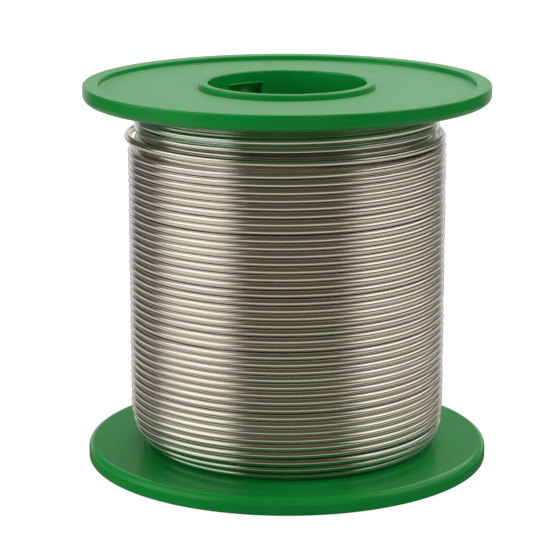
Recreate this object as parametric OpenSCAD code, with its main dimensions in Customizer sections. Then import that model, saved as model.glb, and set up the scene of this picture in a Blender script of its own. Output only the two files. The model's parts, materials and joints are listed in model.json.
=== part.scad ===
// A reel of solder wire: two plastic flanges on a barrel, and the wire wound on it.
// Sizes are in millimetres. The reel stands on its lower flange. The origin is the
// middle of that flange's outer face, and +Z runs up the bore.

/* [Reel] */
// Diameter of both flanges
flange_d = 55; // [48:0.5:80]
// Height of the reel over both flanges
reel_h = 52; // [45:0.5:90]
// Thickness of a flange at its rim
flange_t = 2.3; // [2:0.1:4]
// Thickness of a flange's web, inside the rim
web_t = 1.5; // [1:0.1:1.9]
// Width of the raised rim round the outer face
rim_w = 2.1; // [1.2:0.1:3]
// Radius on the rim's edges at the outer face
face_edge_r = 0.3; // [0.1:0.05:0.5]
// Radius on the rim's edge on the side of the wire
wire_edge_r = 0.9; // [0.3:0.05:1.2]
// Bore for the spindle of a holder
bore_d = 21.4; // [14:0.1:24]
// Wall of the collars that pass through the flanges
collar_wall = 1.2; // [0.8:0.1:1.6]
// Wall of the barrel between the flanges
barrel_wall = 2.05; // [1.8:0.05:3]
// Radius on the edges of a collar's end
collar_edge_r = 0.25; // [0.1:0.05:0.35]
// Clearance between a collar and the hole in its flange
collar_fit = 0.05; // [0.02:0.01:0.2]

/* [Start slot] */
// Height of the slot that takes the inner end of the wire
slot_h = 2.6; // [1.6:0.1:5]
// Where the slot's end wall stands, as an angle round the bore
slot_angle = 108.8; // [0:0.2:360]
// Angle over which the slot is open through the barrel's wall
slot_open = 11.2; // [9:0.2:20]
// Angle over which the slot's floor runs back to the bore
slot_ramp = 19.3; // [10:0.1:40]

/* [Wire] */
// Diameter of the wire
wire_d = 1; // [0.6:0.05:1.2]
// Diameter of the flux core inside the wire
flux_d = 0.36; // [0.2:0.02:0.5]
// Layers of wire on the barrel
layers = 10; // [5:1:12]
// Clearance that the solid layers keep from the barrel and from the drawn turns
layer_fit = 0.05; // [0.02:0.01:0.2]
// Length of the inner end of the wire in the start slot
start_tail = 1.4; // [0.8:0.1:1.8]
// Length of the straight outer end of the wire
end_tail = 3; // [1:0.5:6]

/* [Turns] */
// Turns drawn of the outer layer, which has about twice as many
outer_turns = 19; // [8:1:19]
// Turns drawn of the layer below it, at the upper flange
top_turns = 3; // [1:1:3]
// Turns drawn of the layer below it, at the lower flange
foot_turns = 2; // [1:1:2]
// Gap between neighbouring turns of the layer below
turn_gap = 0.45; // [0.42:0.01:0.7]
// Where the outer end of the wire lies, as an angle round the reel
end_angle = 125; // [0:1:360]
// How far below the upper flange the outer end lies, to its middle
end_below = 2.6; // [1.2:0.1:4]
// Part of a turn over which the outer end rises to there
end_rise = 0.3; // [0.2:0.05:0.4]
// How far the last turn springs off the winding
spring_out = 0.75; // [0.4:0.05:1.2]
// Turns before the outer end where the last turn stands off most
spring_at = 0.85; // [0.55:0.05:0.9]
// Part of a turn on each side of that over which it comes back to the winding
spring_span = 0.25; // [0.15:0.05:0.3]
// Part of a turn in which the wire climbs from one layer to the next
climb = 0.5; // [0.3:0.05:0.8]

/* [Hidden] */
$fn = 96;

flange_r = flange_d / 2;
bore_r = bore_d / 2;
collar_r = bore_r + collar_wall;
barrel_r = bore_r + barrel_wall;
wire_r = wire_d / 2;
cut = 1; // how far a cut runs past what it cuts
edge_step = 0.3; // radius of a rounded edge for each straight piece in it
edge_pieces = 2; // fewest straight pieces in a rounded edge
ramp_steps = 8; // straight pieces in the floor of the start slot

// The drawn wire has flat sides, and its turns are counted in rings.
rings_per_turn = 24;
tube_sides = 6;
end_sides = 12;
chord = cos(180 / rings_per_turn); // how near a run between rings comes to the axis

// Layers nest between the turns below, so each adds less than a wire's diameter.
layer_rise = wire_d * sin(60);
outer_r = barrel_r + wire_r + (layers - 1) * layer_rise; // to the middle of the wire
under_r = outer_r - layer_rise;

// Heights to the middle of the wire.
winding_bottom = flange_t;
winding_top = reel_h - flange_t;
under_pitch = wire_d + turn_gap;
foot_low = winding_bottom + wire_r + layer_fit;
foot_high = foot_low + foot_turns * under_pitch;
upper_high = winding_top - wire_r - layer_fit;
upper_low = upper_high - top_turns * under_pitch;
outer_high = upper_low; // the last turn stops where the turns of the layer below show
outer_pitch = (outer_high - foot_high) / outer_turns;
outer_loops = foot_turns + outer_turns;
end_high = winding_top - end_below;

// Goes from 0 to 1 with no corner while x goes from 0 to 1
function ease(x) = let (u = min(max(x, 0), 1)) u * u * (3 - 2 * u);
function unit(v) = v / norm(v);
// The point at an angle and a radius in a flat outline, or at a height as well
function flat_at(angle, r) = r * [cos(angle), sin(angle)];
function at(angle, r, z) = [each flat_at(angle, r), z];
// Points on an arc in a flat outline, from one angle to another
function arc(centre, r, from, to) =
    let (steps = max(edge_pieces, ceil(r / edge_step)))
        [
            for (i = [0:steps])
                centre + flat_at(from + (to - from) * i / steps, r)
        ];

// Height and radius of the wire after t turns, from the foot of the winding up
function outer_z(t) =
    foot_low + under_pitch * min(t, foot_turns) + outer_pitch * max(t - foot_turns, 0)
    + (end_high - outer_high) * ease(1 - (outer_loops - t) / end_rise);
function outer_radius(t) =
    let (left = outer_loops - t)
        under_r + layer_rise * ease(1 - (foot_turns - t) / climb)
        + spring_out * max(ease(1 - abs(left - spring_at) / spring_span), ease(1 - left / end_rise));
outer_path = [
    for (i = [0:rings_per_turn * outer_loops])
        let (t = i / rings_per_turn)
            at(end_angle + 360 * (t - outer_loops), outer_radius(t), outer_z(t))
];
upper_path = [
    for (i = [0:rings_per_turn * top_turns])
        let (t = i / rings_per_turn)
            at(end_angle + 360 * t, under_r, upper_high - under_pitch * t)
];

// Where the outer end leaves the drawn turns, and the way it points
end_ahead = unit(outer_path[len(outer_path) - 1] - outer_path[len(outer_path) - 2]);
end_from = outer_path[len(outer_path) - 1] + wire_d * end_ahead;
// The inner end lies in the slot and points at the axis
start_angle = slot_angle + slot_open / 2;
start_from = at(start_angle, barrel_r, winding_top - slot_h / 2);
start_ahead = -at(start_angle, 1, 0);

// Adds a straight run of one wire diameter at each end of a path
function with_straight_ends(path) =
    let (last = len(path) - 1)
        concat(
            [path[0] + wire_d * unit(path[0] - path[1])],
            path,
            [path[last] + wire_d * unit(path[last] - path[last - 1])]
        );
// Corners of the tube at point i of a path, square to the way the path runs there
function ring(path, i) =
    let (
        ahead = unit(path[min(i + 1, len(path) - 1)] - path[max(i - 1, 0)]),
        up = unit(cross([path[i][0], path[i][1], 0], ahead)),
        side = cross(ahead, up)
    )
        [
            for (k = [0:tube_sides - 1])
                let (a = 360 * k / tube_sides)
                    path[i] + wire_r * (cos(a) * side + sin(a) * up)
        ];
// Least gap between stretches of one tube that are half a turn or more apart
function least_gap(path) =
    min([
        for (i = [0:len(path) - 1])
            for (j = [i + rings_per_turn / 2:1:len(path) - 1])
                norm(path[j] - path[i])
    ]) - wire_d;

// One unbroken tube along a path
module wire_tube(path) {
    rings = len(path);
    points = [for (i = [0:rings - 1]) each ring(path, i)];
    walls = [
        for (i = [0:rings - 2])
            for (k = [0:tube_sides - 1])
                let (
                    a = i * tube_sides + k,
                    b = i * tube_sides + (k + 1) % tube_sides
                )
                    each [[a, b, a + tube_sides], [b, b + tube_sides, a + tube_sides]]
    ];
    first_end = [for (k = [1:tube_sides - 2]) [0, k + 1, k]];
    last = (rings - 1) * tube_sides;
    last_end = [for (k = [1:tube_sides - 2]) [last, last + k, last + k + 1]];
    polyhedron(points, concat(walls, first_end, last_end));
}

// Puts a child that stands on the origin at a point, standing the way given
module along(from, ahead) {
    translate(from)
        rotate([0, acos(ahead[2]), atan2(ahead[1], ahead[0])])
            children();
}

// One flange with its outer face down: a web with a raised rim round it
module flange() {
    foot = flange_t - web_t;
    inside = flange_r - rim_w;
    rotate_extrude()
        polygon(concat(
            [[collar_r + collar_fit, foot], [inside, foot]],
            arc([inside + face_edge_r, face_edge_r], face_edge_r, 180, 270),
            arc([flange_r - face_edge_r, face_edge_r], face_edge_r, 270, 360),
            arc([flange_r - wire_edge_r, flange_t - wire_edge_r], wire_edge_r, 0, 90),
            [[collar_r + collar_fit, flange_t]]
        ));
}

module lower_flange() {
    color("forestgreen") flange();
}

module upper_flange() {
    color("forestgreen") translate([0, 0, reel_h]) mirror([0, 0, 1]) flange();
}

// The space that the start slot takes out of the barrel's wall, seen along the axis.
// It goes right through at one end, and its floor ramps up to the bore at the other
module slot_outline() {
    ramp_from = slot_angle + slot_open;
    floor_line = [
        for (i = [0:ramp_steps])
            flat_at(ramp_from + slot_ramp * i / ramp_steps, barrel_r - barrel_wall * i / ramp_steps)
    ];
    polygon(concat(
        [
            flat_at(slot_angle, bore_r - cut),
            flat_at(slot_angle, barrel_r + cut),
            flat_at(ramp_from, barrel_r + cut)
        ],
        floor_line,
        [flat_at(ramp_from + slot_ramp, bore_r - cut)]
    ));
}

// A tube whose ends are turned down to the collars that carry the flanges
module barrel() {
    color("green")
        difference() {
            rotate_extrude()
                polygon(concat(
                    arc([bore_r + collar_edge_r, collar_edge_r], collar_edge_r, 180, 270),
                    arc([collar_r - collar_edge_r, collar_edge_r], collar_edge_r, 270, 360),
                    [
                        [collar_r, flange_t],
                        [barrel_r, flange_t],
                        [barrel_r, reel_h - flange_t],
                        [collar_r, reel_h - flange_t]
                    ],
                    arc([collar_r - collar_edge_r, reel_h - collar_edge_r], collar_edge_r, 0, 90),
                    arc([bore_r + collar_edge_r, reel_h - collar_edge_r], collar_edge_r, 90, 180)
                ));
            translate([0, 0, winding_top - slot_h]) linear_extrude(slot_h) slot_outline();
        }
}

// The hidden layers as one solid, lower at both ends where the outer layer stops short
module inner_winding() {
    under_core_r = under_r * chord - wire_r - layer_fit;
    outer_core_r = outer_r * chord - wire_r - layer_fit;
    step_low = foot_high + wire_r + layer_fit;
    step_high = upper_low - wire_r - layer_fit;
    color("gray")
        difference() {
            union() {
                translate([0, 0, winding_bottom])
                    cylinder(r = under_core_r, h = winding_top - winding_bottom);
                translate([0, 0, step_low]) cylinder(r = outer_core_r, h = step_high - step_low);
            }
            translate([0, 0, winding_bottom - cut])
                cylinder(r = barrel_r + layer_fit, h = winding_top - winding_bottom + 2 * cut);
        }
}

// The outer layer. It starts with the last turns of the layer below, at the lower flange,
// climbs a layer there, runs up the reel and springs off a little in its last turn
module outer_winding() {
    path = with_straight_ends(outer_path);
    echo(least_gap_of_outer_winding = least_gap(path));
    color("silver") wire_tube(path);
}

// Turns of the layer below that show between the outer layer and the upper flange
module upper_turns() {
    path = with_straight_ends(upper_path);
    echo(least_gap_of_upper_turns = least_gap(path));
    color("silver") wire_tube(path);
}

// A straight stretch of the flux in the wire
module flux(length) {
    cylinder(r = flux_d / 2, h = length, $fn = end_sides);
}

// A straight stretch of wire, hollow where the flux is
module cut_end(length) {
    difference() {
        cylinder(r = wire_r, h = length, $fn = end_sides);
        translate([0, 0, -cut]) flux(length + 2 * cut);
    }
}

// The inner end of the wire, which the first turn leaves in the start slot
module wire_start() {
    color("silver") along(start_from, start_ahead) cut_end(start_tail);
}

// The outer end of the wire, round the back of the reel
module free_end() {
    color("silver") along(end_from, end_ahead) cut_end(end_tail);
}

// The flux that shows at both ends of the wire
module flux_core() {
    color("goldenrod") {
        along(start_from, start_ahead) flux(start_tail);
        along(end_from, end_ahead) flux(end_tail);
    }
}

lower_flange();
upper_flange();
barrel();
inner_winding();
outer_winding();
upper_turns();
wire_start();
free_end();
flux_core();
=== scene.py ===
import json
import math

import bpy
import numpy as np
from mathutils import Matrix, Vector


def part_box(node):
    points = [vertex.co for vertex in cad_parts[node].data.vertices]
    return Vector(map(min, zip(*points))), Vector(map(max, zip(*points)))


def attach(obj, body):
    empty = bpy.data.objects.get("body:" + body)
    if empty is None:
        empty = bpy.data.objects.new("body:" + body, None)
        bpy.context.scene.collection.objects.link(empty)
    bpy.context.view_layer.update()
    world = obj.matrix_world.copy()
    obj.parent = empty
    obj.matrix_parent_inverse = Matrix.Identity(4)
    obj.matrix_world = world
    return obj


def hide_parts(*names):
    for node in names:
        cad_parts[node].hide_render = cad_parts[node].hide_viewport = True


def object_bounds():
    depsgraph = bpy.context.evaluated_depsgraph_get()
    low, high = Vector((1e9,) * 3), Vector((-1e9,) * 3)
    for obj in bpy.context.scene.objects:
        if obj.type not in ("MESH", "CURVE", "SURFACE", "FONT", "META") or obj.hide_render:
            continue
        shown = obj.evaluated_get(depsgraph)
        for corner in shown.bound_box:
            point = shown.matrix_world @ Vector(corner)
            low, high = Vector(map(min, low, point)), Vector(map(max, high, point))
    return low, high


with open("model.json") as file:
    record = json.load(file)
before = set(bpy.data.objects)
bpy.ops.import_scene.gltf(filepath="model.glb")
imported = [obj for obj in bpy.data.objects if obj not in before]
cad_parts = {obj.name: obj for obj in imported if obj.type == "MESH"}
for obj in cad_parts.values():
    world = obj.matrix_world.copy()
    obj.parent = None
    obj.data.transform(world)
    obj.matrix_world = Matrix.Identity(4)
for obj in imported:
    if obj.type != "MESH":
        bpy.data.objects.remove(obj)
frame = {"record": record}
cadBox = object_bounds()
mm = 0.001


# Meshes

# points on a rounded edge, how far past it the guard line of the flat beside it runs, and the angle in
# degrees from which an edge is shaded sharp
edges = {"steps": 7, "guard": 0.04 * mm, "sharp": 40}


def makeObject(name, mesh, material):
    piece = bpy.data.objects.new(name, mesh)
    bpy.context.scene.collection.objects.link(piece)
    mesh.materials.append(material)
    return piece


def gridFaces(rows, columns, closedRows):
    # Quads between neighbours (i, j), (i+1, j), (i+1, j+1), (i, j+1); the columns close on themselves
    i, j = np.meshgrid(np.arange(rows if closedRows else rows - 1), np.arange(columns), indexing="ij")
    below, right = (i + 1) % rows, (j + 1) % columns
    return np.stack([i * columns + j, below * columns + j, below * columns + right, i * columns + right], -1)


def gridUv(rows, columns, closedRows, along, around):
    # The same quads' corners: how far along by row, how far around by column, with no jump at the seams
    i, j = np.meshgrid(np.arange(rows if closedRows else rows - 1), np.arange(columns), indexing="ij")
    u = np.stack([along[i], along[i + 1], along[i + 1], along[i]], -1)
    v = np.stack([around[j], around[j], around[j + 1], around[j + 1]], -1)
    return np.stack([u, v], -1)


def outward(points, faces):
    # Signed volume: a sixth of the sum of a . (b x c) over each quad's two triangles. Below 0 the mesh is
    # inside out
    a, b, c, d = (points[faces[:, k]] for k in range(4))
    volume = np.einsum("ij,ij->i", a, np.cross(b, c) + np.cross(c, d)).sum() / 6
    return volume > 0


def meshFromFaces(name, points, faces, uv=None, caps=()):
    # Quads in rows of four, then whole rings as flat caps; uv holds one pair for each corner of each quad
    if not outward(points, faces):
        faces = faces[:, ::-1]
        uv = uv[:, ::-1] if uv is not None else None
        caps = [cap[::-1] for cap in caps]
    mesh = bpy.data.meshes.new(name)
    mesh.from_pydata(points.tolist(), [], faces.tolist() + [list(map(int, cap)) for cap in caps])
    smooth = np.ones(len(mesh.polygons), bool)
    smooth[len(faces):] = False
    mesh.polygons.foreach_set("use_smooth", smooth)
    if uv is not None:
        layer = mesh.uv_layers.new(name="surface")
        full = np.zeros((len(mesh.loops), 2))
        full[:uv.reshape(-1, 2).shape[0]] = uv.reshape(-1, 2)
        layer.data.foreach_set("uv", full.ravel())
    mesh.set_sharp_from_angle(angle=math.radians(edges["sharp"]))
    mesh.update()
    return mesh


def roundedProfile(corners):
    # A closed outline of (radius, height) from corners with a fillet each. A fillet is the arc that touches
    # both sides: it starts at fillet / tan(half the angle) from the corner. A guard point just outside each
    # end of an arc keeps the shading of the flat beside it flat
    outline = []
    for k, (r, z, fillet) in enumerate(corners):
        here = np.array([r, z])
        before, after = np.array(corners[k - 1][:2]), np.array(corners[(k + 1) % len(corners)][:2])
        u, v = (before - here) / np.linalg.norm(before - here), (after - here) / np.linalg.norm(after - here)
        if fillet <= 0:
            outline.append(here)
            continue
        half = math.acos(np.clip(u @ v, -1, 1)) / 2
        reach = fillet / math.tan(half)
        middle = here + (u + v) / np.linalg.norm(u + v) * fillet / math.sin(half)
        start, end = here + u * reach, here + v * reach
        first = math.atan2(*(start - middle)[::-1])
        turn = (math.atan2(*(end - middle)[::-1]) - first + math.pi) % (2 * math.pi) - math.pi
        a = first + turn * np.linspace(0, 1, edges["steps"])
        outline.append(here + u * (reach + edges["guard"]))
        outline.extend(middle + fillet * np.stack([np.cos(a), np.sin(a)], -1))
        outline.append(here + v * (reach + edges["guard"]))
    return np.array(outline)


def revolved(outline, segments):
    # Each point of the outline goes round the z axis: (r cos a, r sin a, z)
    a = np.linspace(0, 2 * np.pi, segments, endpoint=False)
    r, z = outline.T
    return np.stack([np.outer(r, np.cos(a)), np.outer(r, np.sin(a)), np.outer(z, np.ones_like(a))], -1)


def tube(path, radius, sides):
    # A ring of points round each point of the path, in the plane square to the way the path runs there:
    # point + radius x (out cos a + up sin a). The ring starts on the side of the z axis, out of sight
    ahead = np.gradient(path, axis=0)
    ahead /= np.linalg.norm(ahead, axis=1, keepdims=True)
    out = path * [1, 1, 0]
    out -= ahead * np.einsum("ij,ij->i", out, ahead)[:, None]
    out /= np.linalg.norm(out, axis=1, keepdims=True)
    up = np.cross(ahead, out)
    a = math.pi + np.linspace(0, 2 * np.pi, sides, endpoint=False)
    ring = out[:, None] * np.cos(a)[None, :, None] + up[:, None] * np.sin(a)[None, :, None]
    return path[:, None] + ring * radius


def tubeFaces(rows, sides, along):
    # The quads of a tube, their UVs, and the rings at its two ends as caps that face away from it
    ring = np.arange(sides)
    uv = gridUv(rows, sides, False, along, np.linspace(0, 1, sides + 1)).reshape(-1, 4, 2)
    return gridFaces(rows, sides, False).reshape(-1, 4), uv, [ring, (rows - 1) * sides + ring[::-1]]


def tubeMesh(name, path, radius, sides):
    # u is the distance from the first point of the path in mm, v goes from 0 to 1 round it
    travelled = np.concatenate([[0], np.cumsum(np.linalg.norm(np.diff(path, axis=0), axis=1))])
    points = tube(path, radius, sides).reshape(-1, 3)
    return meshFromFaces(name, points, *tubeFaces(len(path), sides, travelled / mm))


def ease(x):
    # From 0 to 1 with no corner: 3 x^2 - 2 x^3 between 0 and 1
    u = np.clip(x, 0, 1)
    return u * u * (3 - 2 * u)


unevenness = {"waves": 8, "pace": 0.83}  # how many sines, and radians a turn of the slowest


def wander(t, seed, size):
    # Small errors of the winding: sines of seeded phase, number n at n times the pace and 1 / root n in size
    phases = np.random.default_rng(seed).uniform(0, 6.28, unevenness["waves"])
    pace = unevenness["pace"]
    return size * sum(np.sin(t * n * pace + phase) / n ** 0.5 for n, phase in enumerate(phases, 1))


def smoothKnots(t, knots, width):
    # Straight runs between the knots, averaged over nine places in a window, so that no corner is left
    at, value = np.array(knots, float).T
    shifts = np.linspace(-width / 2, width / 2, 9)
    return np.mean([np.interp(t + s, at, value) for s in shifts], axis=0)


# Shader maths

class Signal:
    # One output socket of a node. Arithmetic on it adds Math nodes to the same tree
    def __init__(self, tree, socket=None):
        self.tree, self.socket = tree, socket

    def node(self, kind, settings, sockets, output=0):
        # Adds a node of any type: its settings first, then the value or link of each socket named
        new = self.tree.nodes.new(kind)
        for key, value in settings.items():
            setattr(new, key, value)
        for key, value in sockets.items():
            if isinstance(value, Signal):
                self.tree.links.new(value.socket, new.inputs[key])
            else:
                new.inputs[key].default_value = value
        return Signal(self.tree, new.outputs[output])

    def maths(self, operation, *values):
        return self.node("ShaderNodeMath", {"operation": operation}, dict(enumerate(values)))

    def __add__(self, other): return self.maths("ADD", self, other)
    def __radd__(self, other): return self.maths("ADD", other, self)
    def __sub__(self, other): return self.maths("SUBTRACT", self, other)
    def __rsub__(self, other): return self.maths("SUBTRACT", other, self)
    def __mul__(self, other): return self.maths("MULTIPLY", self, other)
    def __rmul__(self, other): return self.maths("MULTIPLY", other, self)
    def __truediv__(self, other): return self.maths("DIVIDE", self, other)
    def __pow__(self, other): return self.maths("POWER", self, other)

    def parts(self):
        # The x, y and z of a vector
        split = self.node("ShaderNodeSeparateXYZ", {}, {0: self}).socket.node
        return [Signal(self.tree, output) for output in split.outputs]

    def noise(self, scale, detail=2.0, roughness=0.5):
        return self.node("ShaderNodeTexNoise", {}, {"Vector": self, "Scale": scale, "Detail": detail,
                                                    "Roughness": roughness})

    def stretched(self, x, y, z):
        return self.node("ShaderNodeVectorMath", {"operation": "MULTIPLY"}, {0: self, 1: (x, y, z)})

    def between(self, low, high):
        # 0 below low, 1 above high, smooth in between
        return self.node("ShaderNodeMapRange", {"interpolation_type": "SMOOTHSTEP"},
                         {"Value": self, "From Min": low, "From Max": high})

    def window(self, start, inside, leave, end):
        # 1 between inside and leave, falling to 0 at start and end
        return self.between(start, inside) * (1 - self.between(leave, end))

    def mix(self, first, second):
        # The first colour where this is 0, the second where it is 1
        return self.node("ShaderNodeMix", {"data_type": "RGBA"}, {0: self, 6: first, 7: second}, 2)

    def bump(self, distance, strength=1.0, under=None):
        sockets = {"Height": self, "Distance": distance, "Strength": strength}
        if under:
            sockets["Normal"] = under
        return self.node("ShaderNodeBump", {}, sockets)


def newMaterial(name, colour):
    material = bpy.data.materials.new(name)
    material.use_nodes = True
    material.diffuse_color = colour
    tree = material.node_tree
    return material, tree.nodes["Principled BSDF"], Signal(tree)


def feed(make, shader, **sockets):
    for key, signal in sockets.items():
        make.tree.links.new(signal.socket, shader.inputs[key.replace("_", " ")])


# Camera

view = {"x": -0.96 * mm, "y": -303 * mm, "z": 97.76 * mm, "down": 13.586, "lens": 145.95, "sensor": 36,
        "clipStart": 0.01, "clipEnd": 20}
camera = bpy.data.objects.new("camera", bpy.data.cameras.new("camera"))
bpy.context.scene.collection.objects.link(camera)
camera.location = (view["x"], view["y"], view["z"])
camera.rotation_euler = (math.radians(90 - view["down"]), 0, 0)
camera.data.lens, camera.data.sensor_width = view["lens"], view["sensor"]
camera.data.clip_start, camera.data.clip_end = view["clipStart"], view["clipEnd"]
bpy.context.scene.camera = camera
print("camera placed")


# Sizes that come with the frame

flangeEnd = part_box("lower_flange")[1]
reel = {
    "radius": flangeEnd.x,
    "height": cadBox[1].z,
    "thick": flangeEnd.z,
    "bore": next(m["dims"]["r_mm"] for m in frame["record"]["mounts"] if m["name"] == "spindle_bore") * mm,
    "barrel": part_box("barrel")[1].x,
    "collarWall": 1.2 * mm,
}
reel["collar"] = reel["bore"] + reel["collarWall"]


# Finishes

def reelPlastic():
    # Moulded plastic, polished where a wall is upright. The level faces that point away from the wire have
    # the satin texture of the mould's floor; their paler colour is a painted sheen. Fine orange peel, faint
    # rub marks round the axis
    finish = {
        "colour": (0.003, 0.285, 0.040, 1), "deep": (0.002, 0.245, 0.031, 1),
        # pale is a painted sheen: the satin faces' grazing reflection of the pale studio, painted into their
        # colour
        "pale": (0.115, 0.345, 0.145, 1), "ior": 1.5, "shine": 0.28,
        "gloss": 0.19, "satin": 0.42, "dusty": 0.04, "rubbed": 0.06,
        # where the satin fades in and out: below the reel's ends, from the collar and from the flange's edge
        "webDepth": (1.1 * mm, 0.9 * mm, 0.76 * mm, 0.66 * mm), "endDepth": (0.12 * mm, 0.02 * mm),
        "webInner": (0.03 * mm, 0.06 * mm), "webOuter": (2.2 * mm, 2.12 * mm),
        "onCollar": 0.38, "onRim": 0.47, "rimFrom": 1 * mm,
        # each noise has a scale per metre and a detail, and the part of its range that counts; a bump has its
        # depth and strength
        "mottle": (90, 3), "mottleRange": (0.3, 0.7),
        "paleMottle": (150, 3), "paleLeast": 0.8, "paleMore": 0.4,
        "rubAcross": 9000, "rubAlong": 60, "rubRange": (0.6, 0.75),
        "patches": (140, 2), "patchRange": (0.45, 0.65), "dust": (420, 3),
        "grain": (5200, 2), "grainBump": (0.006 * mm, 0.25), "peel": (1500, 2), "peelBump": (0.004 * mm, 0.3),
    }
    material, shader, make = newMaterial("reelPlastic", finish["colour"])
    place = make.node("ShaderNodeTexCoord", {}, {}, 3)
    x, y, z = place.parts()
    middle = reel["height"] / 2
    radius = (x * x + y * y) ** 0.5
    fromMiddle = make.maths("ABSOLUTE", z - middle)
    web = fromMiddle.window(*(middle - depth for depth in finish["webDepth"]))
    web = web * radius.window(*(reel["collar"] + gap for gap in finish["webInner"]),
                              *(reel["radius"] - gap for gap in finish["webOuter"]))
    ends = fromMiddle.between(*(middle - depth for depth in finish["endDepth"]))
    ends = ends * (finish["onCollar"]
                   + finish["onRim"] * radius.between(reel["collar"], reel["collar"] + finish["rimFrom"]))
    satin = web + ends
    mottle = place.noise(*finish["mottle"]).between(*finish["mottleRange"])
    colour = mottle.mix(finish["deep"], finish["colour"])
    # painted sheen: the satin faces are painted towards the pale colour, more where the noise is high
    paintedSheen = satin * (finish["paleLeast"] + finish["paleMore"] * place.noise(*finish["paleMottle"]))
    colour = paintedSheen.mix(colour, finish["pale"])
    rings = make.node("ShaderNodeCombineXYZ", {}, {"X": radius * finish["rubAcross"],
                                                   "Y": x * finish["rubAlong"], "Z": y * finish["rubAlong"]})
    rub = rings.noise(1.0, 2).between(*finish["rubRange"])
    rub = rub * place.noise(*finish["patches"]).between(*finish["patchRange"])
    gloss = finish["gloss"] + (finish["satin"] - finish["gloss"]) * satin
    gloss = gloss + finish["dusty"] * place.noise(*finish["dust"]) + finish["rubbed"] * rub
    grain = place.noise(*finish["grain"]).bump(*finish["grainBump"])
    peel = place.noise(*finish["peel"]).bump(*finish["peelBump"], grain)
    feed(make, shader, Base_Color=colour, Roughness=gloss, Normal=peel)
    shader.inputs["IOR"].default_value = finish["ior"]
    shader.inputs["Specular IOR Level"].default_value = finish["shine"]
    return material


def solderWire():
    # Bright drawn tin: lines along the wire, slow changes of tone from turn to turn, small dull spots
    # of flux. Next to each flange the turns are painted darker and greener: painted shade and a painted
    # reflection of its green
    finish = {
        "colour": (0.885, 0.845, 0.755, 1), "dull": (0.80, 0.755, 0.66, 1), "gloss": 0.155,
        # low and high are painted shade and a painted green reflection of the lower and the upper flange
        "low": (0.34, 0.50, 0.36, 1), "lowFrom": 9 * mm, "lowTo": 2.4 * mm,
        "high": (0.80, 0.90, 0.74, 1), "highFrom": 45.6 * mm, "highTo": 46.8 * mm,
        # lines and tone are stretched noises, waves per mm along the wire and waves round it
        "lines": (0.09, 26, 0), "tone": (0.035, 0.6, 0), "noise": (1.0, 3, 0.6), "toneRange": (0.32, 0.68),
        "toneShare": 0.75, "linesShare": 0.25, "spots": (900, 3), "spotsRange": (0.56, 0.72),
        "linesGloss": 0.10, "spotsGloss": 0.06, "toneGloss": 0.05, "grooves": (0.004 * mm, 0.4),
    }
    material, shader, make = newMaterial("solderWire", finish["colour"])
    along = make.node("ShaderNodeUVMap", {"uv_map": "surface"}, {})
    place = make.node("ShaderNodeTexCoord", {}, {}, 3)
    lines = along.stretched(*finish["lines"]).noise(*finish["noise"])
    tone = along.stretched(*finish["tone"]).noise(*finish["noise"])
    spots = place.noise(*finish["spots"]).between(*finish["spotsRange"])
    bright = tone.between(*finish["toneRange"]) * finish["toneShare"] + finish["linesShare"] * lines
    colour = bright.mix(finish["dull"], finish["colour"])
    height = place.parts()[2]
    # painted shade and painted green reflection of the lower flange, strongest at the bottom
    low = 1 - height.between(finish["lowTo"], finish["lowFrom"])
    colour = (low * low).mix(colour, finish["low"])
    # painted green reflection of the upper flange on the turns under it
    colour = height.between(finish["highFrom"], finish["highTo"]).mix(colour, finish["high"])
    gloss = (finish["gloss"] + finish["linesGloss"] * (lines - 0.5) + finish["spotsGloss"] * spots
             + finish["toneGloss"] * (tone - 0.5))
    feed(make, shader, Base_Color=colour, Roughness=gloss, Normal=lines.bump(*finish["grooves"]))
    shader.inputs["Metallic"].default_value = 1.0
    return material


def fluxResin():
    # Amber rosin: deeper in the hollows, with a crumbly cut face
    finish = {"colour": (0.62, 0.33, 0.07, 1), "deep": (0.33, 0.13, 0.02, 1), "gloss": 0.25, "crumbly": 0.3,
              "grain": (9000, 3), "grainRange": (0.3, 0.7), "grainBump": (0.01 * mm, 0.6)}
    material, shader, make = newMaterial("fluxResin", finish["colour"])
    grain = make.node("ShaderNodeTexCoord", {}, {}, 3).noise(*finish["grain"])
    colour = grain.between(*finish["grainRange"]).mix(finish["deep"], finish["colour"])
    feed(make, shader, Base_Color=colour, Roughness=finish["gloss"] + finish["crumbly"] * grain,
         Normal=grain.bump(*finish["grainBump"]))
    return material


plastic, wireMetal, resin = reelPlastic(), solderWire(), fluxResin()
print("finishes made")


# The reel

flangeForm = {"rimWidth": 2.1 * mm, "web": 1.5 * mm, "faceEdge": 0.32 * mm, "wireEdge": 0.9 * mm,
              "foot": 0.25 * mm, "holeGap": 0.02 * mm, "segments": 256}


def flangeMesh(name, up):
    # A web with a raised rim round its outer face. The lower one has its outer face down
    f = flangeForm
    hole, inside = reel["collar"] + f["holeGap"], reel["radius"] - f["rimWidth"]
    foot = reel["thick"] - f["web"]
    outline = roundedProfile([
        (hole, foot, 0), (inside, foot, f["foot"]), (inside, 0, f["faceEdge"]),
        (reel["radius"], 0, f["faceEdge"]), (reel["radius"], reel["thick"], f["wireEdge"]),
        (hole, reel["thick"], 0)])
    if up:
        outline[:, 1] = reel["height"] - outline[:, 1]
    points = revolved(outline, f["segments"]).reshape(-1, 3)
    return meshFromFaces(name, points, gridFaces(len(outline), f["segments"], True).reshape(-1, 4))


for flangeName, node, up in (("lowerFlange", "lower_flange", False), ("upperFlange", "upper_flange", True)):
    flange = makeObject(flangeName, flangeMesh(flangeName, up), plastic)
    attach(flange, "root")
    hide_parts(node)
print("flanges made")

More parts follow.
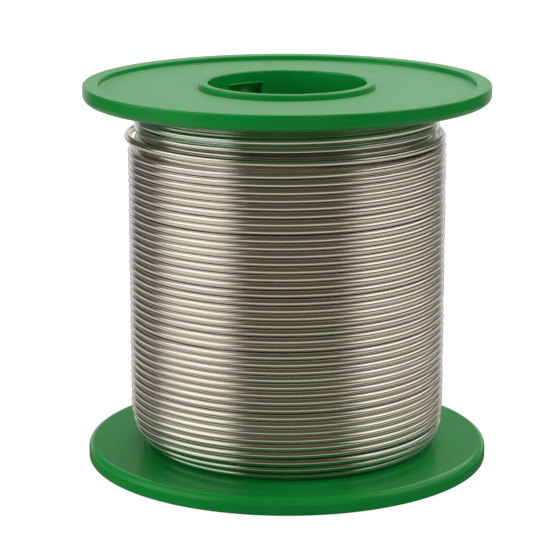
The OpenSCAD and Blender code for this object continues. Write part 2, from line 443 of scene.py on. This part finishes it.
barrelForm = {
    "edge": 0.27 * mm, "flangeGap": 0.02 * mm, "footLine": 3 * mm,
    # dents in the upper collar's end, and the pace, seed and size of the two waves that place them
    "dent": 0.05 * mm, "dentWaves": ((0.5, 21, 0.7), (3, 22, 0.5)),
    # the slot: from its end wall the hole runs slotOpen degrees, then the ramp slotRamp degrees
    "slotAngle": 108.8, "slotOpen": 11.2, "slotRamp": 19.3, "slotHigh": 2.6 * mm,
    "lip": 0.10 * mm, "lipAngle": 0.5,
    # the pocket above it, with a raised line that fades out in ridgeFade degrees past its two ends
    "above": 0.62 * mm, "skin": 0.3 * mm, "pocketDepth": 0.6, "ridge": 0.14 * mm, "ridgeHigh": 0.20 * mm,
    "ridgeFade": (3, 4),
    "columns": 236, "holeColumns": 8, "holeMargin": 1, "rampColumns": 15,
}


def barrelColumns():
    # Azimuths of the columns, with a line at each edge of the slot: its end wall, the end of the hole
    # through the wall, and the end of the ramp, which is where the even ones start
    b = barrelForm
    wall, holeEnd = b["slotAngle"], b["slotAngle"] + b["slotOpen"]
    rampEnd = holeEnd + b["slotRamp"]
    return np.concatenate([np.linspace(rampEnd, wall + 360, b["columns"], endpoint=False), [wall],
                           np.linspace(wall + b["lipAngle"], holeEnd - b["holeMargin"], b["holeColumns"]),
                           np.linspace(holeEnd, rampEnd, b["rampColumns"], endpoint=False)])


def barrelMesh(name):
    # A tube with a collar at each end: rows follow its outline, columns go round it. In the slot the bore's
    # wall is set back by the barrel's wall x (1 - way along the ramp). Where that reaches the outside, the
    # quads of both walls are left out and their edges share points, which makes the hole to the winding
    b, guard = barrelForm, edges["guard"]
    bore, collar, outside, e = reel["bore"], reel["collar"], reel["barrel"], b["edge"]
    top, bottom, height = reel["height"] - reel["thick"], reel["thick"], reel["height"]
    slotFoot, pocketTop = top - b["slotHigh"], top + b["above"]
    low, high = slotFoot + b["lip"], top - b["lip"]
    ridge = pocketTop + b["ridgeHigh"]
    quarter = np.linspace(0, math.pi / 2, edges["steps"])

    def corner(r, z, first):
        # A quarter circle round (r, z): centre + e (cos a, sin a), turned about to run the outline's way
        return np.stack([r + e * np.cos(first + quarter), z + e * np.sin(first + quarter)], -1)[::-1]

    inner = np.array([e + guard, b["footLine"], top / 2, slotFoot - guard, slotFoot, low, high,
                      pocketTop, pocketTop + guard, ridge, ridge + guard, height - e - guard])
    lowRow, highRow, pocketRow, ridgeRow = 5, 6, 7, 8
    outer = np.array([top - b["flangeGap"], high, low, top / 2, bottom + b["flangeGap"]])
    outline = np.concatenate([
        np.stack([np.full_like(inner, bore), inner], -1),
        corner(bore + e, height - e, math.pi / 2),
        corner(collar - e, height - e, 0),
        [[collar, height - e - guard], [collar, top], [outside, top]],
        np.stack([np.full_like(outer, outside), outer], -1),
        [[outside, bottom], [collar, bottom], [collar, e + guard]],
        corner(collar - e, e, -math.pi / 2),
        corner(bore + e, e, math.pi)])
    firstOuter = len(inner) + 2 * len(quarter) + 3
    outerHigh, outerLow = firstOuter + 1, firstOuter + 2

    columns = barrelColumns()
    rows, count = len(outline), len(columns)
    wall, holeEnd = b["slotAngle"], b["slotAngle"] + b["slotOpen"]
    rounding = 0.01
    hole = np.flatnonzero((columns > wall + b["lipAngle"] / 2) & (columns <= holeEnd + rounding))
    depth = (outside - bore) * np.clip(1 - (columns - holeEnd) / b["slotRamp"], 0, 1)
    depth[columns <= wall] = 0
    radius = np.repeat(outline[:, :1], count, axis=1)
    radius[[lowRow, highRow]] += depth
    radius[pocketRow] += np.minimum(b["pocketDepth"] * depth, collar - bore - b["skin"])
    fadeIn, fadeOut = b["ridgeFade"]
    radius[ridgeRow] -= (b["ridge"] * ease((columns - wall + fadeIn) / fadeIn)
                         * ease((holeEnd + b["slotRamp"] - columns) / fadeOut))
    z = np.repeat(outline[:, 1:], count, axis=1)
    a = np.radians(columns)
    # a dent is as deep as the product of the slow and the fast wave, where that is above 0
    slow, fast = (wander(a * pace, seed, size) for pace, seed, size in b["dentWaves"])
    z -= (z > height - e) * b["dent"] * np.clip(slow * fast, 0, 1)
    points = np.stack([radius * np.cos(a), radius * np.sin(a), z], -1).reshape(-1, 3)

    keep = np.ones((rows, count), bool)
    keep[lowRow, hole[:-1]] = keep[outerHigh, hole[:-1]] = False
    faces = gridFaces(rows, count, True)[keep]
    shared = np.arange(rows * count)
    shared[lowRow * count + hole] = outerLow * count + hole
    shared[highRow * count + hole] = outerHigh * count + hole
    used, faces = np.unique(shared[faces], return_inverse=True)
    return meshFromFaces(name, points[used], faces.reshape(-1, 4))


barrel = makeObject("barrelTube", barrelMesh("barrelTube"), plastic)
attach(barrel, "root")
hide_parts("barrel")
print("barrel made")


# The wire. Its heights and radii are in mm at places along it, counted in turns: at a whole number it
# passes the front, a quarter later the right. Layer ten is outermost

wire = {"radius": 0.5 * mm, "layers": 10, "sides": 14, "ringsPerTurn": 168, "cornerSpan": 0.16}
rise = 2 * wire["radius"] * math.sin(math.pi / 3)  # a layer nests between the turns below it
underR = reel["barrel"] + wire["radius"] + (wire["layers"] - 2) * rise
windingLow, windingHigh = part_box("inner_winding")[0].z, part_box("inner_winding")[1].z


def windingPath(t, r, z):
    # A helix whose radius and height change along it: (r cos a, r sin a, z), with a = 270 degrees + 360 t
    a = np.radians(270 + 360 * t)
    return np.stack([r * np.cos(a), r * np.sin(a), z], -1)


outerForm = {
    "heights": [(-0.4, 2.82), (0, 2.9), (1, 3.95), (2, 4.98), (2.3, 5.04), (3, 6.10), (37, 41.1), (38, 42.12),
                (39, 43.15), (39.5, 44.3), (39.75, 44.95), (40, 44.67), (40.3, 44.95), (41, 45.1)],
    "radii": [(-0.4, 18.9), (-0.2, 19.1), (0, 20.05), (0.3, 19.9), (0.7, 19.6), (1, 20.5), (1.3, 20.7),
              (1.7, 20.4), (2, 20.9), (2.7, 20.8), (3.2, 20.95), (4, 21.04), (39.9, 21.04), (40.2, 20.95),
              (41, 20.95)],
    "first": -0.4, "wholeTurns": 40, "endAngle": 125, "calmFrom": 2, "calmTo": 1.5,
    "uneven": 0.018 * mm, "heightSeed": 5, "radiusSeed": 8,
    "endBelow": 2.6 * mm, "endRise": 0.3, "endSpring": 0.75 * mm,
    "springOut": 0.45 * mm, "springAt": 0.85, "springSpan": 0.25,
    "straight": 1 * mm, "straightRings": 4, "chord": 5, "softened": 14, "softenings": 3,
}


def outerPath():
    # Layer ten climbs from the lower flange. Near its end it springs out, lifts and runs straight
    f = outerForm
    lastTurn = f["wholeTurns"] + (90 + f["endAngle"]) / 360
    t = np.linspace(f["first"], lastTurn, int((lastTurn - f["first"]) * wire["ringsPerTurn"]) + 1)
    left = lastTurn - t
    calm = ease(t / f["calmFrom"]) * ease(left / f["calmTo"])
    z = smoothKnots(t, f["heights"], wire["cornerSpan"]) * mm + wander(t, f["heightSeed"], f["uneven"]) * calm
    endZ = windingHigh - f["endBelow"]
    z += (endZ - z[-1]) * ease(1 - left / f["endRise"])
    r = smoothKnots(t, f["radii"], wire["cornerSpan"]) * mm + wander(t, f["radiusSeed"], f["uneven"]) * calm
    r += f["springOut"] * ease(1 - abs(left - f["springAt"]) / f["springSpan"])
    r += f["endSpring"] * ease(1 - left / f["endRise"])
    path = windingPath(t, r, z)
    ahead = path[-1] - path[-1 - f["chord"]]
    ahead /= np.linalg.norm(ahead)
    way = np.linspace(0, 1, f["straightRings"] + 1)[1:, None]
    path = np.concatenate([path, path[-1] + ahead * f["straight"] * way])
    n = f["softened"]
    for again in range(f["softenings"]):
        # each ring near the corner moves to (the one before + twice itself + the one after) / 4
        path[-n:-2] = (path[-n - 1:-3] + 2 * path[-n:-2] + path[-n + 1:-1]) / 4
    return path


outer = outerPath()
outerTurns = makeObject("outerTurns", tubeMesh("outerTurns", outer, wire["radius"], wire["sides"]), wireMetal)
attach(outerTurns, "root")
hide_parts("outer_winding")

underForm = {
    # the last turns of layer eight go up to the upper flange, then the wire climbs a layer and comes down
    "heights": [(-3.4, 46.3), (-3, 46.72), (-2, 47.74), (-1, 48.72), (-0.62, 48.85), (-0.42, 47.5),
                (-0.2, 47.12), (0, 47.34), (0.2, 47.56), (0.5, 46.8), (0.8, 45.98), (1, 46.2), (1.2, 46.42),
                (1.5, 45.4), (1.8, 44.3), (2, 44.5), (2.2, 44.7), (2.5, 44.1), (3, 43.6), (6, 40.65)],
    "first": -3.4, "last": 5.6, "climb": (-0.72, -0.36),
    "uneven": 0.012 * mm, "heightSeed": 12, "radiusSeed": 14,
}


def underPath():
    # Layer nine goes down while the outer one goes up
    f = underForm
    t = np.linspace(f["first"], f["last"], int((f["last"] - f["first"]) * wire["ringsPerTurn"]) + 1)
    z = smoothKnots(t, f["heights"], wire["cornerSpan"]) * mm + wander(t, f["heightSeed"], f["uneven"])
    start, end = f["climb"]
    r = underR - rise * (1 - ease((t - start) / (end - start))) + wander(t, f["radiusSeed"], f["uneven"])
    return windingPath(t, r, z)


under = underPath()
upperTurns = makeObject("upperTurns", tubeMesh("upperTurns", under, wire["radius"], wire["sides"]), wireMetal)
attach(upperTurns, "root")
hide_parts("upper_turns")

hiddenForm = {
    # how many layers below layer nine the ridges lie, up to each height (mm)
    "levels": [(6.4, 2.4), (41.5, 0.0), (46.1, 1.0), (60, 2.0)],
    "pitch": 1.03 * mm, "groove": 0.97, "barrelGap": 0.03 * mm, "steps": 6, "segments": 128,
}


def hiddenMesh(name):
    # The layers inside, as ridges one wire high: radius + sqrt(wire radius^2 - height from the ridge^2).
    # They step in at both ends, where the drawn turns lie, and the bore fits round the barrel
    f = hiddenForm
    count = int((windingHigh - windingLow) / f["pitch"])
    pitch = (windingHigh - windingLow) / count
    h = np.linspace(-0.5, 0.5, f["steps"] + 1)[:-1]
    middles = windingLow + (np.arange(count) + 0.5) * pitch
    z = (middles[:, None] + h * pitch).ravel()
    ends, levels = np.array(f["levels"]).T
    core = underR - rise * levels[np.searchsorted(ends * mm, middles)]
    bulge = wire["radius"] * np.sqrt(np.clip(1 - (2 * h * f["groove"]) ** 2, 0, 1))
    r = (core[:, None] + bulge[None, :]).ravel()
    inside = reel["barrel"] + f["barrelGap"]
    outline = np.concatenate([np.stack([r, z], -1),
                              [[r[-1], windingHigh], [inside, windingHigh], [inside, windingLow]]])
    grid = revolved(outline, f["segments"])
    # u runs along the ridges and v across them, as on the drawn wire
    around = np.linspace(0, 2 * np.pi * underR / mm, f["segments"] + 1)
    across = np.arange(len(outline) + 1) / f["steps"]
    uv = gridUv(len(outline), f["segments"], True, across, around)[..., ::-1]
    faces = gridFaces(len(outline), f["segments"], True).reshape(-1, 4)
    return meshFromFaces(name, grid.reshape(-1, 3), faces, uv.reshape(-1, 4, 2))


hiddenLayers = makeObject("hiddenLayers", hiddenMesh("hiddenLayers"), wireMetal)
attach(hiddenLayers, "root")
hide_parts("inner_winding")

endForm = {
    "sides": 24, "rings": 12, "flux": 0.18 * mm, "hollow": 0.75 * mm,
    # the cut face's rings, in shares of its edge: how far back each lies, and how far into the metal from
    # the outside or from the hole
    "edge": 0.035 * mm, "back": (0.3, 0, 0, 0.5, 1), "fromOutside": (0.3, 1), "fromHole": (1, 0.3, 0),
    "recess": 0.06 * mm, "dome": 0.06 * mm, "domeRings": 5,
    "fluxNeck": 0.25 * mm, "fluxGap": 0.01 * mm, "fluxFit": 0.985,
    "startAngle": 114.4, "startBelow": 1.3 * mm, "startLength": 1.4 * mm,
    "freeLength": 3 * mm, "pinchLength": 0.9 * mm, "pinch": (0.30, -0.12),
}


def straightMesh(name, start, ahead, along, radius, pinchFrom, pinch):
    # Rings on a straight line: start + ahead x along, each an ellipse whose two half axes are the radius
    # times (1 - pinch), where the pinch comes in over its length
    f = endForm
    ahead = np.array(ahead) / np.linalg.norm(ahead)
    side = np.cross(ahead, [0, 0, 1])
    side /= np.linalg.norm(side)
    up = np.cross(side, ahead)
    a = np.linspace(0, 2 * np.pi, f["sides"], endpoint=False)
    squeeze = ease((along - pinchFrom) / f["pinchLength"])
    across = radius * (1 - pinch[0] * squeeze)
    upwards = radius * (1 - pinch[1] * squeeze)
    grid = (np.asarray(start) + ahead * along[:, None, None] + side * (across[:, None] * np.cos(a))[..., None]
            + up * (upwards[:, None] * np.sin(a))[..., None])
    travelled = np.concatenate([[0], np.cumsum(abs(np.diff(along)) + abs(np.diff(radius)))]) / mm
    return meshFromFaces(name, grid.reshape(-1, 3), *tubeFaces(len(along), f["sides"], travelled))


def wireEndMesh(name, start, ahead, length, pinch):
    # The wire's outside, its cut face with two rounded edges, and the hole that the flux fills
    f = endForm
    e, hole, r = f["edge"], f["flux"], wire["radius"]
    back, fromOutside, fromHole = (e * np.array(f[key]) for key in ("back", "fromOutside", "fromHole"))
    along = np.concatenate([np.linspace(0, length - e, f["rings"]), length - back, [length - f["hollow"]]])
    radius = np.concatenate([np.full(f["rings"], r), r - fromOutside, hole + fromHole, [hole]])
    return straightMesh(name, start, ahead, along, radius, length - f["pinchLength"], pinch)


def fluxMesh(name, start, ahead, length, pinch):
    # A plug that fills the hole, with a low dome at its cut face: radius x sqrt(1 - (way over the dome)^2)
    f = endForm
    top = length - f["recess"]
    dome = np.sin(np.linspace(0, 1, f["domeRings"] + 1)[:-1] * math.pi / 2)
    along = np.concatenate([[length - f["hollow"] + f["fluxGap"], top - f["fluxNeck"]],
                            top - f["dome"] * (1 - dome)])
    radius = f["fluxFit"] * f["flux"] * np.concatenate([[1, 1], np.sqrt(1 - dome ** 2)])
    return straightMesh(name, start, ahead, along, radius, length - f["pinchLength"], pinch)


startAt = math.radians(endForm["startAngle"])
inwards = -np.array([math.cos(startAt), math.sin(startAt), 0])
wireEnds = {
    "Start": ("wire_start", {"start": -inwards * reel["barrel"] + [0, 0, windingHigh - endForm["startBelow"]],
                             "ahead": inwards, "length": endForm["startLength"], "pinch": (0.0, 0.0)}),
    "Free": ("free_end", {"start": outer[-1], "ahead": outer[-1] - outer[-2],
                          "length": endForm["freeLength"], "pinch": endForm["pinch"]}),
}
for endName, (node, end) in wireEnds.items():
    wireEnd = makeObject("wire" + endName, wireEndMesh("wire" + endName, **end), wireMetal)
    flux = makeObject("flux" + endName, fluxMesh("flux" + endName, **end), resin)
    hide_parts(node)
    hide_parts("flux_core")
    for piece, slotName in ((wireEnd, "solder_wire"), (flux, "flux")):
        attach(piece, "root")
print("wire wound")


# Studio
# What the glossy surfaces mirror is laid out by direction. Azimuth 0 is towards the camera and 90 to its
# right, elevation 0 is level, and each zone fades in over its first two numbers and out over its last two

studio = {
    "dark": (0.085, 0.076, 0.052, 1),
    "zones": {
        "leftSoftbox": {"azimuth": (-112, -105, -52, -34), "elevation": (-90, -89, 46, 60),
                        "light": (1.13, 1.13, 1.12, 1)},
        "leftRear": {"azimuth": (-152, -140, -113, -98), "elevation": (-90, -89, 50, 70),
                     "light": (0.06, 0.063, 0.07, 1)},
        "leftStrip": {"azimuth": (-152, -140, -113, -98), "elevation": (14, 24, 60, 80),
                      "light": (0.15, 0.155, 0.165, 1)},
        "rightSoftbox": {"azimuth": (48, 66, 94, 130), "elevation": (10, 24, 54, 66),
                         "light": (1.15, 1.14, 1.12, 1)},
        "rightRear": {"azimuth": (112, 134, 144, 154), "elevation": (-90, -89, 20, 28),
                      "light": (0.17, 0.175, 0.175, 1)},
        "rightHigh": {"azimuth": (104, 122, 150, 160), "elevation": (20, 28, 58, 74),
                      "light": (1.3, 1.3, 1.3, 1)},
    },
    # the wall behind: light low down, a dark gap, then light again, brighter to the right
    "back": {"from": (142, 154), "low": (0.80, 0.80, 0.80, 1), "gap": (0.17, 0.17, 0.17, 1),
             "high": (0.95, 0.95, 0.97, 1), "highRight": (2.0, 2.0, 2.0, 1), "rightFrom": (-0.2, 0.4),
             "gapFrom": (9, 14), "gapTo": (21, 28)},
    "again": 0.92,  # how bright the studio is in a reflection of a reflection
    "fill": (0.28, 0.28, 0.28, 1),
    "middle": 26 * mm,  # the height that the lamps point at
}


def surroundings(make, direction):
    # The colour of the studio in a direction: zones are laid over the dark front one after another
    x, y, z = direction.parts()
    azimuth = make.maths("ARCTAN2", x, -1 * y) * (180 / math.pi)
    elevation = make.maths("ARCSINE", z) * (180 / math.pi)
    colour = studio["dark"]
    for zone in studio["zones"].values():
        mask = azimuth.window(*zone["azimuth"]) * elevation.window(*zone["elevation"])
        colour = mask.mix(colour, zone["light"])
    back = studio["back"]
    behind = make.maths("ABSOLUTE", azimuth).between(*back["from"])
    sky = elevation.between(*back["gapFrom"]).mix(back["low"], back["gap"])
    high = x.between(*back["rightFrom"]).mix(back["high"], back["highRight"])
    sky = elevation.between(*back["gapTo"]).mix(sky, high)
    return behind.mix(colour, sky)


def dimmedAgain(make, colour, mirrors):
    # Light that reaches the eye over more mirroring surfaces than this is dimmed
    depth = make.node("ShaderNodeLightPath", {}, {}, "Ray Depth")
    dim = 1 - (1 - studio["again"]) * make.maths("GREATER_THAN", depth, mirrors + 0.5)
    grey = make.node("ShaderNodeCombineXYZ", {}, {"X": dim, "Y": dim, "Z": dim})
    return make.node("ShaderNodeVectorMath", {"operation": "MULTIPLY"}, {0: colour, 1: grey})


def rayIs(make, *kinds):
    # 1 for a ray of one of the kinds, 0 for any other
    seen, *others = [make.node("ShaderNodeLightPath", {}, {}, kind) for kind in kinds]
    for ray in others:
        seen = make.maths("MAXIMUM", seen, ray)
    return seen


def studioWorld():
    # White to the camera and through clear things, the zones in reflections, a plain fill for all else
    world = bpy.data.worlds.new("studio")
    bpy.context.scene.world = world
    world.use_nodes = True
    tree = world.node_tree
    tree.nodes.clear()
    make = Signal(tree)
    direction = make.node("ShaderNodeTexCoord", {}, {}, 0)
    mirrored = dimmedAgain(make, surroundings(make, direction), mirrors=2)
    colour = rayIs(make, "Is Glossy Ray").mix(studio["fill"], mirrored)
    colour = rayIs(make, "Is Camera Ray", "Is Transmission Ray").mix(colour, (1, 1, 1, 1))
    sky = make.node("ShaderNodeBackground", {}, {"Color": colour, "Strength": 1.0})
    out = tree.nodes.new("ShaderNodeOutputWorld")
    tree.links.new(sky.socket, out.inputs["Surface"])


table = {
    # in reflections: dark close under the reel, lit round it and further to the sides, then the studio's dark
    "near": (0.10, 0.10, 0.09, 1), "light": (0.56, 0.55, 0.50, 1), "ring": (30 * mm, 43 * mm),
    "end": (88 * mm, 112 * mm), "wider": 0.8, "sideways": (0.55, 0.75),
    "beyond": (0.10, 0.095, 0.08, 1), "behind": (0.52, 0.52, 0.54, 1), "rearwards": (0.70, 0.88),
    "left": (0.66, 0.65, 0.62, 1), "leftFrom": (-98, -80, -54, -36), "leftEnd": (270 * mm, 320 * mm),
    # to the camera: dim at the bottom of the bore, a faint shade round the reel, white further out
    "inBore": (0.34, 0.34, 0.33, 1), "boreEnd": (10 * mm, 27 * mm),
    "shade": (0.89, 0.89, 0.89, 1), "shadeEnd": (120 * mm, 400 * mm),
    "matt": (0.20, 0.20, 0.20, 1), "reach": 3.0, "corners": 96,
}


def floorMaterial():
    # A pale table, by its distance and direction from the reel
    material = bpy.data.materials.new("paleFloor")
    material.use_nodes = True
    tree = material.node_tree
    tree.nodes.clear()
    make = Signal(tree)
    place = make.node("ShaderNodeTexCoord", {}, {}, 3)
    radius = make.node("ShaderNodeVectorMath", {"operation": "LENGTH"}, {0: place}, 1)
    x, y, level = make.node("ShaderNodeVectorMath", {"operation": "NORMALIZE"}, {0: place}).parts()
    lit = radius.between(*table["ring"]).mix(table["near"], table["light"])
    wider = make.maths("ABSOLUTE", x).between(*table["sideways"]) * table["wider"] + 1
    far = y.between(*table["rearwards"]).mix(table["beyond"], table["behind"])
    mirrored = (radius / wider).between(*table["end"]).mix(lit, far)
    azimuth = make.maths("ARCTAN2", x, -1 * y) * (180 / math.pi)
    leftward = azimuth.window(*table["leftFrom"]) * radius.window(*table["ring"], *table["leftEnd"])
    mirrored = dimmedAgain(make, leftward.mix(mirrored, table["left"]), mirrors=1)
    glossy = make.node("ShaderNodeEmission", {}, {"Color": mirrored, "Strength": 1.0})
    shade = radius.between(*table["boreEnd"]).mix(table["inBore"], table["shade"])
    shade = radius.between(*table["shadeEnd"]).mix(shade, (1, 1, 1, 1))
    glow = make.node("ShaderNodeEmission", {}, {"Color": shade, "Strength": 1.0})
    matt = make.node("ShaderNodeBsdfDiffuse", {}, {"Color": table["matt"]})
    pale = make.node("ShaderNodeAddShader", {}, {0: glow, 1: matt})
    seen = make.node("ShaderNodeMixShader", {}, {0: rayIs(make, "Is Camera Ray", "Is Transmission Ray"),
                                                 1: matt, 2: pale})
    both = make.node("ShaderNodeMixShader", {}, {0: rayIs(make, "Is Glossy Ray"), 1: seen, 2: glossy})
    out = tree.nodes.new("ShaderNodeOutputMaterial")
    tree.links.new(both.socket, out.inputs["Surface"])
    return material


def floorMesh():
    # A flat disc: reach times (cos a, sin a)
    a = np.linspace(0, 2 * np.pi, table["corners"], endpoint=False)
    points = np.stack([table["reach"] * np.cos(a), table["reach"] * np.sin(a), np.zeros_like(a)], -1)
    mesh = bpy.data.meshes.new("floor")
    mesh.from_pydata(points.tolist(), [], [list(range(len(a)))])
    return mesh


lamps = {
    "left": {"azimuth": -75, "elevation": 4, "distance": 0.5, "size": 0.45, "level": 0.92,
             "colour": (0.95, 1.0, 1.0)},
    "right": {"azimuth": 80, "elevation": 40, "distance": 0.5, "size": 0.4, "level": 0.34,
              "colour": (1.0, 0.97, 0.90)},
    "front": {"azimuth": 15, "elevation": 12, "distance": 0.6, "size": 0.4, "level": 0.22,
              "colour": (1.0, 0.97, 0.92)},
    "rear": {"azimuth": 170, "elevation": 35, "distance": 0.6, "size": 0.4, "level": 0.25,
             "colour": (1.0, 1.0, 1.0)},
    "top": {"azimuth": 180, "elevation": 80, "distance": 0.6, "size": 0.4, "level": 0.38,
            "colour": (1.0, 1.0, 1.0)},
}


def lamp(name, azimuth, elevation, distance, size, level, colour):
    # Soft light for the matt part of every surface. Its power is level x pi squared x distance squared, so
    # that a white surface that faces it gets about that level
    light = bpy.data.lights.new(name, "AREA")
    light.shape, light.size = "DISK", size
    light.color = colour
    light.energy = level * math.pi ** 2 * distance ** 2
    bulb = bpy.data.objects.new(name, light)
    bpy.context.scene.collection.objects.link(bulb)
    a, e = math.radians(azimuth), math.radians(elevation)
    towards = Vector((math.sin(a) * math.cos(e), -math.cos(a) * math.cos(e), math.sin(e)))
    bulb.location = Vector((0, 0, studio["middle"])) + towards * distance
    bulb.rotation_mode = "QUATERNION"
    bulb.rotation_quaternion = towards.to_track_quat("Z", "Y")
    bulb.visible_camera = bulb.visible_glossy = False


studioWorld()
makeObject("floor", floorMesh(), floorMaterial())
for lampName, settings in lamps.items():
    lamp(lampName, **settings)
bpy.context.scene.view_settings.view_transform = "Standard"
print("studio set")
